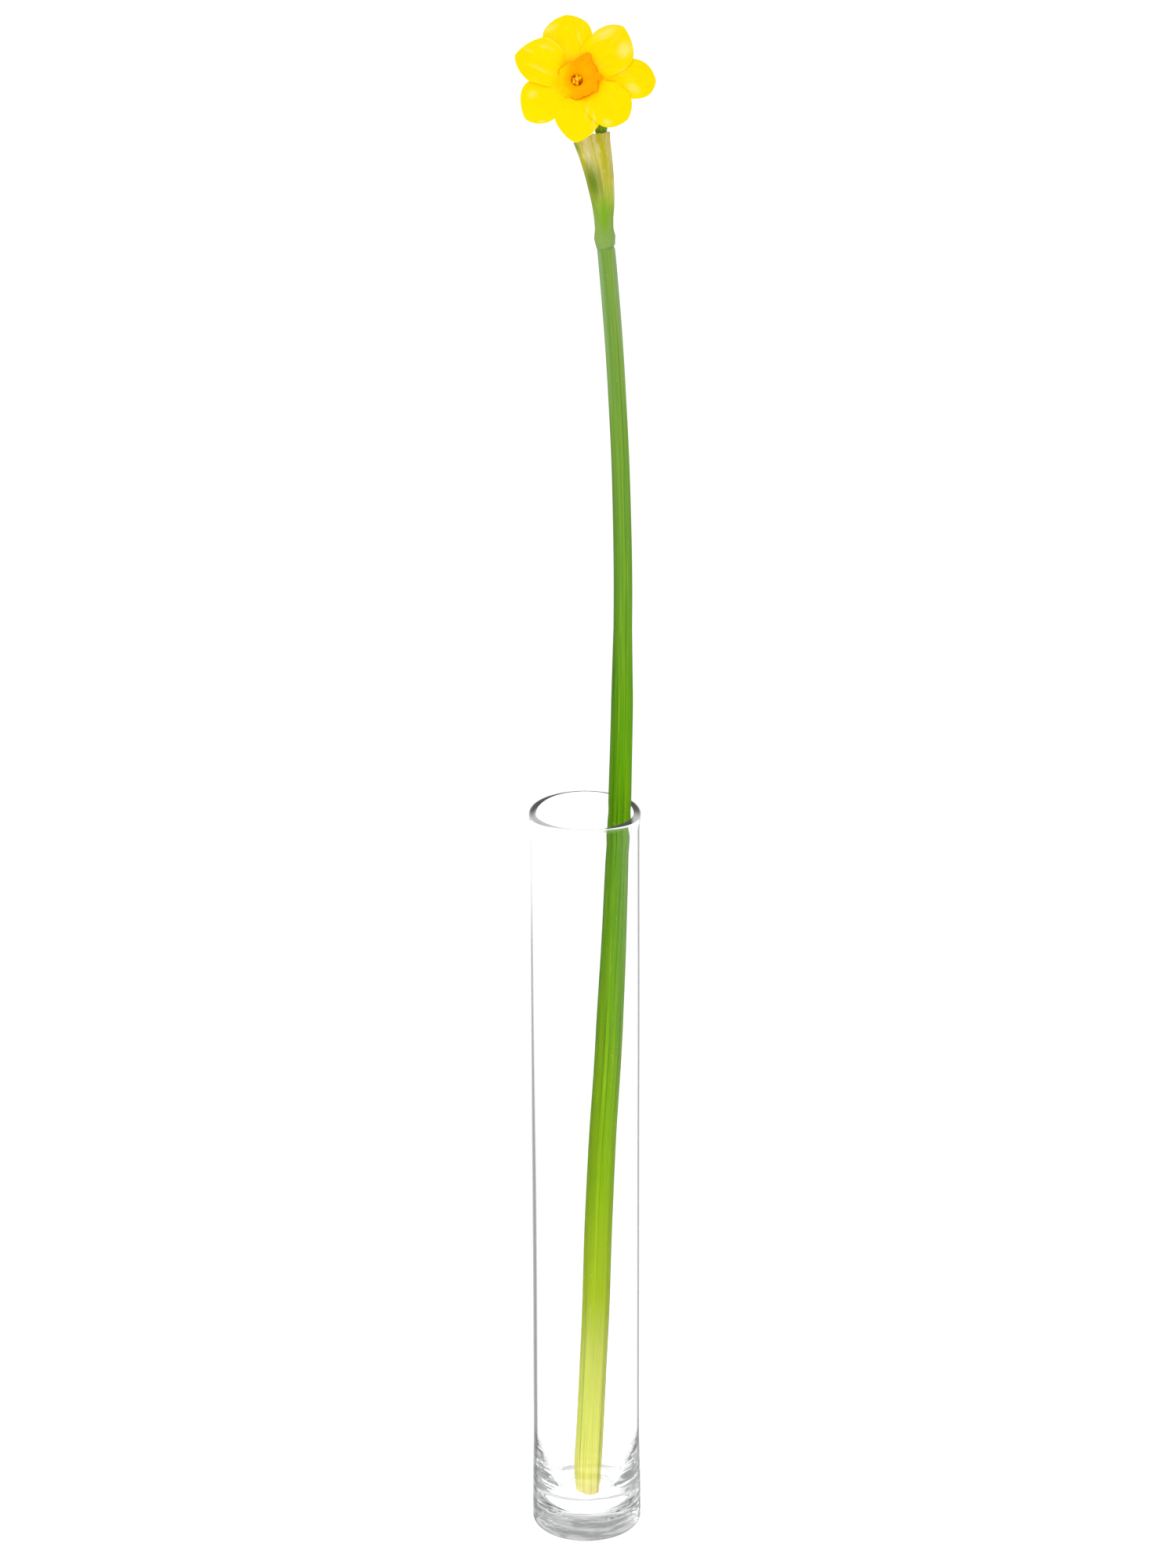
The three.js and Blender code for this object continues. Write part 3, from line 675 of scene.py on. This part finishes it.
def sheath_rings(inset):
    """The sheath's wall from its foot to its ragged mouth, inset millimetres inside the outer skin."""
    path = smooth_line([row[:3] for row in SHEATH_LINE], 400)
    sizes = [row[2:] for row in SHEATH_LINE]
    low, high = SHEATH_LINE[0][2], SHEATH_LINE[-1][2]
    turn = turns(SHEATH["sides"])
    share = np.linspace(0, 1, SHEATH["steps"])[:, None]
    away = turn - math.radians(SHEATH["slit_turn"])
    from_slit = np.arctan2(np.sin(away), np.cos(away))
    slit = SHEATH["slit_depth"] * np.exp(-(from_slit / SHEATH["slit_width"]) ** 2)
    foot_slope = SHEATH["foot_tilt"] * np.cos(turn) * (1 - ease(share / 0.2))
    slope = SHEATH["mouth_tilt"] * np.cos(turn) - SHEATH["mouth_lift"] * np.sin(turn)
    torn = 0.12 * np.cos(17 * turn) + 0.08 * np.cos(31 * turn + 2)
    ragged = SHEATH["ragged"] * np.cos(5 * turn + 1) + torn
    t = share * (1 + (slope + ragged - slit) / (high - low))
    at = np.clip(t, 0, 1) * (len(path) - 1)
    middle = np.stack([np.interp(at, np.arange(len(path)), path[:, k]) for k in range(3)], -1)
    height = middle[..., 2]
    folds = share ** 2 * (0.16 * np.cos(7 * turn + 0.5) + 0.1 * np.cos(11 * turn + 2 * share))
    ribs = 0.05 * np.cos(24 * turn + 0.4 * np.cos(height / 3)) + 0.03 * np.cos(41 * turn)
    skirt = 0.06 * np.exp(-((height - low - 3.0) / 1.5) ** 2)
    relief = folds + ribs * ease(share / 0.15) + skirt - inset
    half = read_rows(sizes, height, 1) + relief
    depth = read_rows(sizes, height, 2) + relief
    rise = np.maximum(t - 1, 0) * (high - low) + foot_slope
    return middle + np.stack([half * np.cos(turn), depth * np.sin(turn), rise], -1)


def make_sheath():
    outside = sheath_rings(0)
    share = np.linspace(0, 1, SHEATH["steps"])
    wall = lerp(SHEATH["wall"], SHEATH["mouth_wall"], ease(share / 0.5))
    wall += (SHEATH["foot_wall"] - SHEATH["wall"]) * (1 - ease(share / 0.1))
    inside = sheath_rings(wall[:, None])
    rings = np.concatenate([outside, inside[::-1]])
    make_tube("papery_sheath", rings, ring_growth(rings), sheath_skin(), "spathe", closed=True)


# ---- flower stalk with the ovary ----
def ovary_skin():
    paint = Paint("ovary_skin", Roughness=0.5, Specular_IOR_Level=0.15, Subsurface_Weight=0.1,
                  Subsurface_Radius=(0.5, 1.0, 0.2), Subsurface_Scale=0.001)
    streak = paint.noise(paint.growth(1.4, 0.12), detail=3.0)
    green = paint.ramp(streak, [
        (0.3, srgb(84, 124, 14)), (0.5, srgb(108, 148, 20)), (0.7, srgb(144, 178, 48)),
    ])
    paint.set("Base Color", green)
    paint.bump(streak, 0.0001, 0.5)
    return paint.material


def make_ovary():
    line = smooth_line([*PEDICEL_LINE, OVARY_TOP], PEDICEL["steps"])
    length = np.linalg.norm(np.diff(line, axis=0), axis=1).sum()

    def ring_at(t, turn, height):
        left = (1 - t) * length
        swell = np.sin(math.pi * np.minimum(left / OVARY["length"], 1)) ** 0.8
        foot = PEDICEL["foot_flare"] * np.exp(-t * length / 1.5)
        shoulder = 0.3 * np.maximum(1 - left, 0)
        radius = lerp(PEDICEL["radius"], OVARY["radius"], swell) + foot + shoulder
        radius = radius * (1 + 0.04 * swell * np.cos(3 * turn + 0.5) + 0.015 * np.cos(9 * turn))
        return radius * np.cos(turn), radius * np.sin(turn)

    rings = rings_along(line, PEDICEL["sides"], ring_at)
    make_tube("stalk_and_ovary", rings, ring_growth(rings), ovary_skin(), "ovary_pedicel")


# ---- floral tube ----
def tube_skin():
    paint = Paint("floral_tube_skin", Roughness=0.5, Specular_IOR_Level=0.35, Subsurface_Weight=0.15,
                  Subsurface_Radius=(1.0, 0.8, 0.2), Subsurface_Scale=0.001)
    streak = paint.noise(paint.growth(1.6, 0.08), detail=3.0)
    uneven = paint.math("MULTIPLY_ADD", paint.math("SUBTRACT", streak, 0.5), 0.5, paint.growth_part("Z"))
    tint = paint.ramp(uneven, [
        (0.0, srgb(120, 155, 40)), (0.3, srgb(190, 196, 40)), (0.65, srgb(240, 208, 10)),
        (0.9, srgb(255, 200, 0)), (1.0, srgb(255, 184, 10)),
    ])
    paint.set("Base Color", tint)
    paint.bump(streak, 0.0001, 0.4)
    return paint.material


def tube_line():
    """The tube's middle line, from just inside the ovary round the bend to the throat."""
    top = np.array(OVARY_TOP, float)
    straight, bend = TUBE["straight"], TUBE["bend"]
    leaving = top + np.array([-0.1, 0.14, 1]) * bend
    curve = bezier_line(top, leaving, on_face(0, 0, -straight - bend), on_face(0, 0, -straight), 40)
    ahead = [on_face(0, 0, -straight / 2), on_face(0, 0, -TUBE["mouth"])]
    return even_line(np.vstack([top - [0, 0, TUBE["root"]], curve, ahead]), TUBE["steps"])


def make_floral_tube():
    def ring_at(t, turn, height):
        lip = TUBE["lip"] * ease((t - 0.85) / 0.15)
        radius = lerp(TUBE["foot"], TUBE["throat"], ease(t)) + lip
        radius = radius * (1 + 0.025 * np.cos(6 * turn) * ease(t / 0.2))
        return radius * np.cos(turn), radius * np.sin(turn)

    outside = rings_along(tube_line(), TUBE["sides"], ring_at)
    # The bore, as radius and place along the axis from its rounded mouth to its end.
    bore, mouth, end = TUBE["bore"], -TUBE["mouth"], -TUBE["depth"]
    profile = np.array([
        (bore + 1.2, mouth), (bore + 0.6, mouth - 0.1), (bore, -2.2), (bore - 0.1, end), (0.3, end),
    ])
    inside = polar(profile[:, :1], turns(TUBE["sides"]) + math.pi / 2, profile[:, 1:])
    # Both skins start at the same side and run the same way round.
    nearest = np.argmin(np.linalg.norm(inside[0] - outside[-1][0], axis=-1))
    inside = np.roll(inside, -nearest, axis=1)
    ahead, astern = (np.linalg.norm(inside[0][k] - outside[-1][1]) for k in (1, -1))
    if ahead > astern:
        inside = np.roll(inside[:, ::-1], 1, axis=1)
    rings = np.concatenate([outside, inside])
    along = np.concatenate([np.linspace(0, 1, len(outside)), np.ones(len(inside))])[:, None]
    make_tube("floral_tube", rings, ring_growth(rings, along), tube_skin(), "perianth")


# ---- tepals ----
def tepal_skin():
    paint = Paint("yellow_tepal", Roughness=0.5, Specular_IOR_Level=0.1, Specular_Tint=(1, 0.85, 0.1, 1),
                  Subsurface_Weight=0.15, Subsurface_Radius=(1.0, 0.8, 0.02), Subsurface_Scale=0.0005)
    vein = paint.noise(paint.growth(2.2, 0.09), detail=3.0, roughness=0.6)
    patch = paint.noise(paint.growth(0.16, 0.09), detail=1.5)
    blotch = paint.noise(paint.growth(0.5, 0.25), detail=2.0)
    yellow = paint.mix(paint.range(blotch, 0.35, 0.65), srgb(255, 202, 0), srgb(255, 206, 0))
    right, up = paint.face_part(RIGHTWARD), paint.face_part(UPWARD)
    # Painted light: the lower tepals are painted a little lighter, to make up for the light they miss.
    painted_lower_light = paint.mix(paint.range(up, -15.0, 2.0, 1.0, 0.0), yellow, srgb(255, 205, 0))
    veined = paint.mix(paint.range(vein, 0.30, 0.48, 0.25, 0.0), painted_lower_light, srgb(255, 194, 0))
    # Painted highlights: pale streaks and spots where the tepals' sheen catches the light.
    glint = paint.times(paint.range(patch, 0.54, 0.66), paint.range(vein, 0.45, 0.65))
    shift = paint.math("MULTIPLY_ADD", blotch, 1.4, -0.7)
    place = paint.vector(paint.math("ADD", right, shift), paint.math("ADD", up, shift))
    highlights = paint.times(glint, 0.2)
    for *spot, strength in PAINTED_HIGHLIGHTS:
        highlights = paint.math("MAXIMUM", highlights, paint.times(paint.spot(place, *spot), strength))
    streaky = paint.times(highlights, paint.range(vein, 0.3, 0.6, 0.45, 0.85))
    pale = paint.mix(streaky, veined, srgb(255, 216, 112))
    # Painted shade and glow: deeper yellow by the corona, and an orange shadow in one fold on its right.
    near_throat = paint.range(paint.length(paint.vector(right, up)), 6.5, 11.0, 0.3, 0.0)
    throat_shade_and_glow = paint.mix(near_throat, pale, srgb(255, 186, 0))
    crease_shadow = paint.spot(place, 11.0, -0.8, 2.0, 0.35, -10)
    paint.set("Base Color", paint.mix(crease_shadow, throat_shade_and_glow, srgb(250, 160, 0)))
    paint.bump(vein, 0.0001, 0.5)
    return paint.material


def tepal_share(s, blunt):
    """Half width of a tepal at s, as a share of its widest."""
    widest = TEPAL["widest"]
    rising = lerp(TEPAL["root_share"], 1, np.sin(np.clip(s / widest, 0, 1) * math.pi / 2) ** 0.8)
    past = np.clip((s - widest) / (1 - widest), 0, 1)
    falling = np.maximum(1 - past ** blunt, 0) ** 0.7
    return np.where(s < widest, rising, np.maximum(falling, 0.02))


def tepal_grid(turn, reach, half, blunt, behind, lean, phase):
    """A tepal's middle layer with the coordinates of its tissue."""
    angle = math.radians(turn)
    s = np.sin(np.linspace(0, math.pi / 2, TEPAL["along"]))[:, None] ** 1.1
    w = np.sin(np.linspace(-1, 1, TEPAL["across"]) * math.pi / 2)[None, :]
    share = tepal_share(s, blunt)
    along = lerp(TEPAL["root"], reach, s)
    tip = 0.12 * np.exp(-(w / 0.25) ** 2) * ease((s - 0.96) / 0.04)
    width = w * half * share + lean * np.sin(math.pi * s ** 1.3)
    cupping = TEPAL["cup"] if behind == 0 else -TEPAL["cup"]
    spread = -1.5 + 1.9 * ease(s / 0.3) + 0.7 * np.sin(math.pi * s) - 0.9 * s ** 3
    wave = TEPAL["wave"] * np.sin(2.8 * math.pi * s + phase + 1.3 * (w > 0)) * s
    crinkle = 0.16 * np.sin(17 * s + 3 * phase + 1.5 * np.sign(w)) * w ** 4 * ease((s - 0.3) / 0.3)
    margin = w ** 2 * share * ease(s / 0.5) * (cupping + wave) + crinkle * share
    keel = TEPAL["keel"] * np.exp(-(w / 0.22) ** 2) * ease(s / 0.4) * (1 - s)
    vein = TEPAL["vein_height"] * np.cos(TEPAL["veins"] * math.pi * w) * (1 - w ** 4) * ease(s / 0.2)
    out = spread + margin - keel + vein * share - TEPAL["behind"] * behind
    along = along + tip
    points = on_face(along * math.cos(angle) - width * math.sin(angle),
                     along * math.sin(angle) + width * math.cos(angle), out)
    growth = np.stack(np.broadcast_arrays(w * half, 40 * phase, along), -1)
    thickness = lerp(TEPAL["thickness"], TEPAL["margin"], np.maximum(w ** 4, ease((s - 0.85) / 0.15)))
    return points, growth, thickness / 2


def make_tepals():
    skin = tepal_skin()
    for name, shape in TEPALS.items():
        surface = Surface()
        surface.add_blade(*tepal_grid(*shape))
        make_piece("tepal_" + name, surface, skin, "perianth")


# ---- corona ----
def corona_skin():
    paint = Paint("orange_corona", Roughness=0.5, Specular_IOR_Level=0.1, Specular_Tint=(1, 0.7, 0.1, 1),
                  Subsurface_Weight=0.3, Subsurface_Radius=(1.0, 0.6, 0.02), Subsurface_Scale=0.001)
    pleat = paint.noise(paint.growth(1.2, 0.25), detail=3.0)
    up = paint.growth_part("Z")
    tint = paint.ramp(up, [
        (0.0, srgb(255, 182, 0)), (0.4, srgb(255, 168, 0)),
        (0.75, srgb(255, 153, 0)), (1.0, srgb(255, 150, 0)),
    ])
    veined = paint.mix(paint.range(pleat, 0.3, 0.5, 0.3, 0.0), tint, srgb(255, 158, 0))
    # The left side is nearly as yellow as the tepals, most of all at its rim.
    side = paint.growth_dot((-0.15, -0.02, 0))
    fade = paint.times(paint.range(side, 0.0, 0.95), paint.range(up, 0.25, 1.0, 0.15, 1.0))
    paint.set("Base Color", paint.mix(fade, veined, srgb(255, 205, 0)))
    paint.bump(pleat, 0.0002, 0.4)
    return paint.material


def corona_rim(turn):
    degrees = np.degrees(turn)
    reach = CORONA["rim"] + CORONA["frill"] * np.cos(12 * turn + 0.7)
    for at, extra, spread in LOBES:
        away = (degrees - at + 540) % 360 - 180
        reach = reach + extra * np.exp(-(away / spread) ** 2)
    return reach


def corona_rings(foot, inset):
    """The cup's wall from its foot to its frilled rim, inset millimetres inside the outer skin."""
    turn = turns(CORONA["sides"])
    share = np.linspace(0, 1, CORONA["steps"])[:, None]
    crimp = 0.05 * np.cos(37 * turn + 1) + 0.03 * np.cos(53 * turn) + 0.06 * np.cos(23 * turn + 2.5)
    reach = corona_rim(turn) + crimp * share ** 3
    pleats = 0.13 * np.cos(18 * turn + 0.8 * np.cos(3 * turn)) * ease(share / 0.4) * (1 - 0.5 * share)
    radius = lerp(foot, reach, share ** 1.15) + pleats - inset
    lower = CORONA["lowering"] * ease(0.5 + 0.5 * np.cos(turn - math.radians(CORONA["low_side"])))
    bulge = CORONA["bulge"] * (1 - lower) * np.sin(math.pi * share)
    lift = CORONA["height"] * (share * (1 - lower * share) + bulge)
    droop = 0.1 * (corona_rim(turn) - CORONA["rim"]) * share ** 2
    waves = 0.22 * np.cos(6 * turn + 1.1) * share ** 3 + 0.12 * np.cos(14 * turn) * share ** 4
    bevel = CORONA["bevel"] * share if inset else 0.0
    rings = polar(radius, turn, CORONA["base"] + lift * (1 - droop) + (1 - lower) * waves + bevel)
    growth = np.stack([radius * np.cos(turn), radius * np.sin(turn), share + 0 * turn], -1)
    return rings, growth


def make_corona():
    outside, outer_growth = corona_rings(CORONA["foot"], 0)
    inside, inner_growth = corona_rings(CORONA["throat"], CORONA["wall"])
    rings = np.concatenate([outside, inside[::-1]])
    growth = np.concatenate([outer_growth, inner_growth[::-1]])
    make_tube("corona_cup", rings, growth, corona_skin(), "corona", closed=True)


# ---- stamens and pistil ----
def pollen():
    paint = Paint("pollen", Roughness=0.9, Specular_IOR_Level=0.05)
    grain = paint.noise(paint.growth(9.0, 9.0), detail=3.0, roughness=0.7)
    fresh = paint.mix(paint.range(grain, 0.4, 0.65), srgb(255, 180, 0), srgb(255, 205, 20))
    # The anthers at the upper left and the lower right have browned.
    along = paint.math("ABSOLUTE", paint.growth_dot((-0.77, 0.64, 0)))
    across = paint.math("ABSOLUTE", paint.growth_dot((0.64, 0.77, 0)))
    browned = paint.times(paint.range(along, 0.75, 1.05), paint.range(across, 0.35, 0.65, 1.0, 0.0))
    paint.set("Base Color", paint.mix(browned, fresh, srgb(186, 66, 6)))
    paint.bump(grain, 0.0001, 1.0)
    return paint.material


def filament_skin():
    paint = Paint("filament_skin", Roughness=0.5, Specular_IOR_Level=0.3)
    grain = paint.noise(paint.growth(3.0, 0.5), detail=2.0)
    tint = paint.mix(grain, srgb(236, 150, 10), srgb(252, 190, 20))
    paint.set("Base Color", tint)
    paint.bump(grain, 0.00005, 0.5)
    return paint.material


def stigma_skin():
    paint = Paint("stigma_skin", Roughness=0.4, Specular_IOR_Level=0.15, Subsurface_Weight=0.2,
                  Subsurface_Radius=(1.0, 0.7, 0.3), Subsurface_Scale=0.0005)
    grain = paint.noise(paint.growth(7.0, 7.0), detail=2.0)
    paint.set("Base Color", paint.mix(grain, srgb(255, 180, 0), srgb(255, 198, 20)))
    paint.bump(grain, 0.00008, 0.8)
    return paint.material


def add_rod(surface, profile, sides, right, up, notch=0.0):
    """A rod along the flower's axis; profile rows are (radius, out), and a notch cuts it into two lobes."""
    turn = turns(sides)
    radius = np.array([row[0] for row in profile])[:, None] * (1 - notch * np.cos(turn) ** 6)
    out = np.array([row[1] for row in profile])[:, None] + 0 * turn
    points = on_face(right + radius * np.cos(turn), up + radius * np.sin(turn), out)
    growth = np.stack([right + radius * np.cos(turn), up + radius * np.sin(turn), out], -1)
    surface.add_tube(points, growth)


def round_ended(radius, low, high, steps):
    """Profile rows of a rod whose two ends are rounded."""
    share = np.linspace(0, 1, steps)
    return [(radius * max(math.sqrt(max(1 - (2 * t - 1) ** 4, 0)), 0.08), lerp(low, high, t)) for t in share]


def make_stamens():
    low = -TUBE["depth"] + 0.3
    threads = Surface()
    anthers = Surface()
    for n in range(STAMEN["count"]):
        turn = TAU * (n + 0.5) / STAMEN["count"]
        right, up = STAMEN["ring"] * math.cos(turn), STAMEN["ring"] * math.sin(turn)
        top = STAMEN["top"] - (n % 2) * STAMEN["stagger"]
        foot = top - STAMEN["length"]
        add_rod(threads, [(STAMEN["thread"], low), (STAMEN["thread"], foot + 1)], 16, right, up)
        add_rod(anthers, round_ended(STAMEN["anther"], foot, top, 26), 28, right, up, STAMEN["notch"])
    make_piece("filaments", threads, filament_skin(), "stamens")
    make_piece("anthers", anthers, pollen(), "stamens")


def make_pistil():
    low = -TUBE["depth"] + 0.3
    surface = Surface()
    neck = STYLE["neck"]
    add_rod(surface, [(STYLE["radius"], low), (neck, -4), (neck, STYLE["top"])], 24, 0, 0)
    for n in range(STYLE["lobes"]):
        turn = TAU * n / STYLE["lobes"] + 0.5
        away = STYLE["lobe"] * 0.6
        rows = round_ended(STYLE["lobe"], STYLE["top"] - 0.35, STYLE["top"] + 0.85, 16)
        add_rod(surface, rows, 28, away * math.cos(turn), away * math.sin(turn))
    make_piece("style_and_stigma", surface, stigma_skin(), "pistil")


# ---- floor, light and camera ----
def make_floor():
    """A pale floor, a hair below the vase so that the glass foot keeps air under it."""
    paint = Paint("pale_floor", Roughness=0.9, Specular_IOR_Level=0.0)
    place = paint.node("TexCoord").outputs["Object"]
    grain = paint.noise(place, scale=300.0, detail=2.0)
    paint.set("Base Color", paint.mix(grain, grey(0.32), grey(0.34)))
    paint.set("Emission Color", grey(1.0))
    paint.set("Emission Strength", 0.75)
    size, level = 20.0, -0.2 * MM
    corners = [(-size, -size, level), (size, -size, level), (size, size, level), (-size, size, level)]
    mesh = bpy.data.meshes.new("floor")
    mesh.from_pydata(corners, [], [(0, 1, 2, 3)])
    mesh.materials.append(paint.material)
    floor = bpy.data.objects.new("floor", mesh)
    bpy.context.scene.collection.objects.link(floor)


def make_world():
    """A white dome with a grey band round it, low down, which draws the edges and the foot of the glass."""
    world = bpy.data.worlds.new("studio_dome")
    world.use_nodes = True
    bpy.context.scene.world = world
    nodes, links = world.node_tree.nodes, world.node_tree.links
    parts = nodes.new("ShaderNodeSeparateXYZ")
    links.new(nodes.new("ShaderNodeTexCoord").outputs["Generated"], parts.inputs[0])
    ramp = nodes.new("ShaderNodeValToRGB")
    links.new(parts.outputs["Z"], ramp.inputs["Fac"])
    elements = ramp.color_ramp.elements
    for place, level in ((0.18, 1.15), (0.28, 0.4), (0.5, 0.4), (0.68, 1.15)):
        element = elements.new(place)
        element.color = grey(level)
    elements.remove(elements[0])
    elements.remove(elements[-1])
    links.new(ramp.outputs["Color"], nodes["Background"].inputs["Color"])


def make_light(name, place, aim, size, power):
    light = bpy.data.lights.new(name, "AREA")
    light.shape = "DISK"
    light.size = size
    light.energy = power
    lamp = bpy.data.objects.new(name, light)
    lamp.location = place
    lamp.rotation_euler = (Vector(place) - Vector(aim)).to_track_quat("Z", "Y").to_euler()
    bpy.context.scene.collection.objects.link(lamp)


def make_camera():
    camera = bpy.data.cameras.new("camera")
    camera.lens = CAMERA["lens"]
    camera.sensor_width = CAMERA["sensor"]
    pitch, roll = math.radians(CAMERA["pitch"]), math.radians(CAMERA["roll"])
    ahead = Vector((0, math.cos(pitch), -math.sin(pitch)))
    right = Vector((1, 0, 0))
    up = right.cross(ahead)
    level_right = right * math.cos(roll) + up * math.sin(roll)
    level_up = up * math.cos(roll) - right * math.sin(roll)
    placed = bpy.data.objects.new("camera", camera)
    placed.matrix_world = (
        Matrix.Translation(CAMERA["place"]) @ Matrix((level_right, level_up, -ahead)).transposed().to_4x4()
    )
    bpy.context.scene.collection.objects.link(placed)
    bpy.context.scene.camera = placed


make_camera()
make_floor()
make_world()
make_light("soft_key", place=(-0.35, -2.1, 1.35), aim=(0, 0, 0.4), size=0.9, power=22)
make_vase()
make_stem()
make_sheath()
make_ovary()
make_floral_tube()
make_tepals()
make_corona()
make_stamens()
make_pistil()

bpy.context.scene.view_settings.view_transform = "Standard"
bpy.context.view_layer.update()
